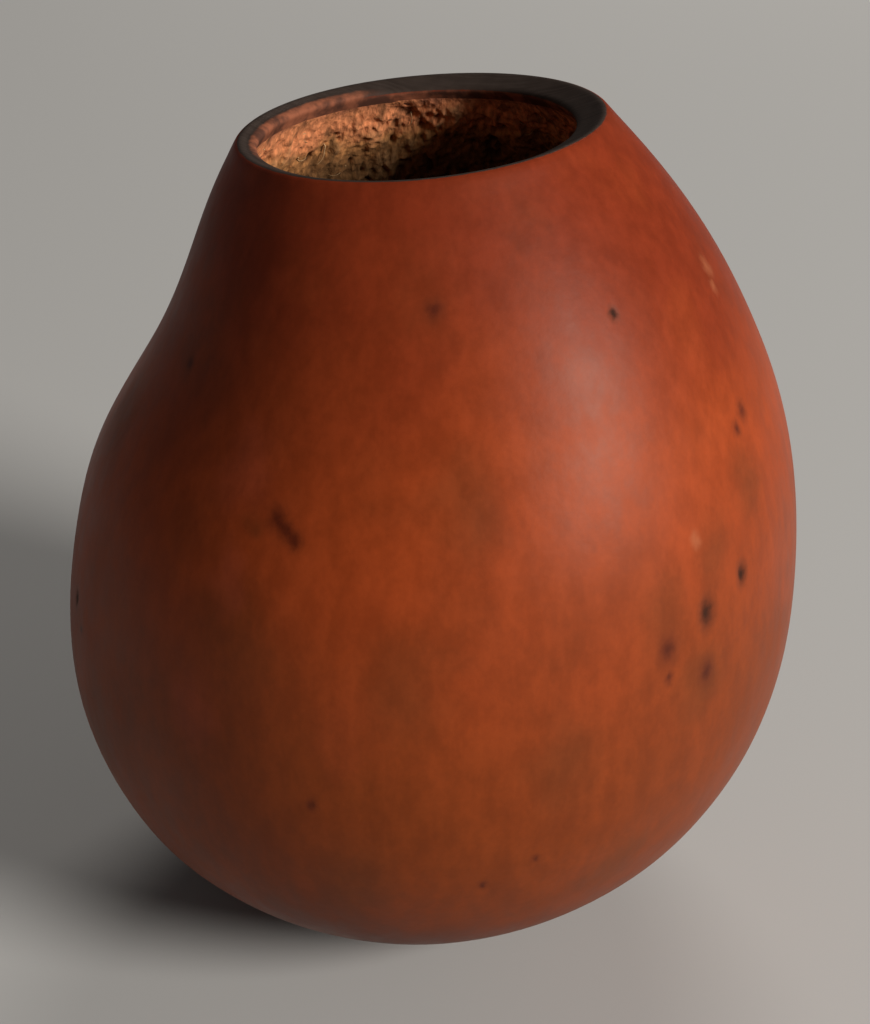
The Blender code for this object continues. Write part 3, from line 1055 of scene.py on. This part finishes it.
def pulp_material():
    g = Graph("dried_pulp")
    uneven = g.noise(*PULP_UNEVEN)
    fine = g.noise(*PULP_FINE)
    strands = g.noise(*PULP_STRANDS)
    down = g.math("ADD", g.layer("depth"), g.centred(uneven, PULP_WANDER))
    # Painted light near the top of the pulp and painted shade deeper down, by depth.
    color = g.tinted(PULP_TOP_COLOR, down, PULP_COLORS_LIT_TO_SHADED)
    color = g.tinted(color, uneven, UNEVEN_TINTS)
    color = g.tinted(color, g.noise(*PULP_RUNS), RUN_TINTS)
    color = g.shaded(color, strands, STRAND_SHADES)
    color = g.shaded(color, fine, CRUMB_SHADES)
    # Painted shade in the hollows and painted light on the lumps of the pulp.
    height = g.math("ADD", g.layer("relief"), g.centred(fine, FINE_RELIEF))
    color = g.tinted(color, height, RELIEF_LIGHT_AND_SHADE)
    g.feed(g.shader.inputs["Base Color"], color)
    g.feed(g.shader.inputs["Roughness"], g.step(fine, *PULP_ROUGHNESS))
    g.shader.inputs["Specular IOR Level"].default_value = PULP_SPECULAR
    g.bump(g.math("ADD", g.math("MULTIPLY", fine, CRUMB_MM), g.math("MULTIPLY", strands, STRAND_MM)))
    return g.material


# The fibres: two noises, the colours that the first runs between, the shades that the second gives,
# and the roughness.
FIBRE_TONE = (0.0040, 2.0)
FIBRE_SPECKLE = (0.0004, 2.0)
FIBRE_DARK = rgb(0.34, 0.190, 0.080)
FIBRE_LIGHT = rgb(0.62, 0.390, 0.190)
FIBRE_SHADES = (0.3, 0.7, 0.85, 1.1)
FIBRE_ROUGHNESS = (0.3, 0.7, 0.75, 0.90)


def fibre_material():
    g = Graph("pulp_fibre")
    tone = g.noise(*FIBRE_TONE)
    color = g.blend(tone, FIBRE_DARK, FIBRE_LIGHT)
    color = g.shaded(color, g.noise(*FIBRE_SPECKLE), FIBRE_SHADES)
    g.feed(g.shader.inputs["Base Color"], color)
    g.feed(g.shader.inputs["Roughness"], g.step(tone, *FIBRE_ROUGHNESS))
    return g.material


def finish_piece(piece, material):
    piece.data.materials.append(material)
    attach(piece, BODY)
    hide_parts(NODE)


# Camera: where it stands, how far it looks down, and its lens.
CAMERA_PLACE = (0.0013, -0.2563, 0.1945)
CAMERA_DOWN = math.radians(27.25)
CAMERA_LENS_MM = 66.8
CAMERA_NEAREST = 0.01

# Light: a key light from the right, and a weak one from behind, for the sides that the photo
# doesn't show. For each: the way to it from the middle of the gourd, its size, its power, and
# whether it shows as a gloss.
LIGHTS = (
    ("key", Vector((0.750, -0.525, 0.407)), 0.58, 29.0, True),
    ("back", Vector((0.170, 0.800, 0.575)), 0.80, 8.5, False),
)
LIGHT_DISTANCE = 1.60
LIGHT_COLOR = (1.0, 0.97, 0.93)
FILL_COLOR = rgb(0.97, 0.98, 1.0)
FILL_STRENGTH = 0.060
FLOOR_RADIUS = 12.0
FLOOR_SIDES = 96
FLOOR_COLOR = rgb(0.55, 0.54, 0.52)
FLOOR_ROUGHNESS = 0.85


def make_camera():
    data = bpy.data.cameras.new("camera")
    data.lens = CAMERA_LENS_MM
    data.clip_start = CAMERA_NEAREST
    camera = new_object("camera", data)
    camera.location = CAMERA_PLACE
    camera.rotation_euler = (math.pi / 2 - CAMERA_DOWN, 0.0, 0.0)
    bpy.context.scene.camera = camera


def make_light(name, way, size, power, gloss):
    middle = Vector((0.0, 0.0, 0.5 * cad_high.z))
    data = bpy.data.lights.new(name, "AREA")
    data.shape = "DISK"
    data.size = size
    data.energy = power
    data.color = LIGHT_COLOR
    light = new_object(name, data)
    light.location = middle + way.normalized() * LIGHT_DISTANCE
    light.rotation_euler = way.to_track_quat("Z", "Y").to_euler()
    light.visible_camera = False
    light.visible_glossy = gloss


def make_fill():
    world = bpy.data.worlds.new("fill")
    world.use_nodes = True
    background = world.node_tree.nodes["Background"]
    background.inputs["Color"].default_value = FILL_COLOR
    background.inputs["Strength"].default_value = FILL_STRENGTH
    bpy.context.scene.world = world


def make_floor():
    turns = [math.tau * k / FLOOR_SIDES for k in range(FLOOR_SIDES)]
    rim = [(FLOOR_RADIUS * math.cos(turn), FLOOR_RADIUS * math.sin(turn), 0.0) for turn in turns]
    mesh = bpy.data.meshes.new("floor")
    mesh.from_pydata(rim, [], [tuple(range(FLOOR_SIDES))])
    g = Graph("pale_floor")
    g.shader.inputs["Base Color"].default_value = FLOOR_COLOR
    g.shader.inputs["Roughness"].default_value = FLOOR_ROUGHNESS
    mesh.materials.append(g.material)
    floor = new_object("floor", mesh)


noise.seed_set(NOISE_SEED)  # noise_vector shifts its places by this seed
make_camera()
for light in LIGHTS:
    make_light(*light)
make_fill()
make_floor()
finish_piece(make_rind(), rind_material())
finish_piece(make_pulp(), pulp_material())
finish_piece(make_fibres(), fibre_material())
bpy.context.scene.view_settings.view_transform = "Standard"
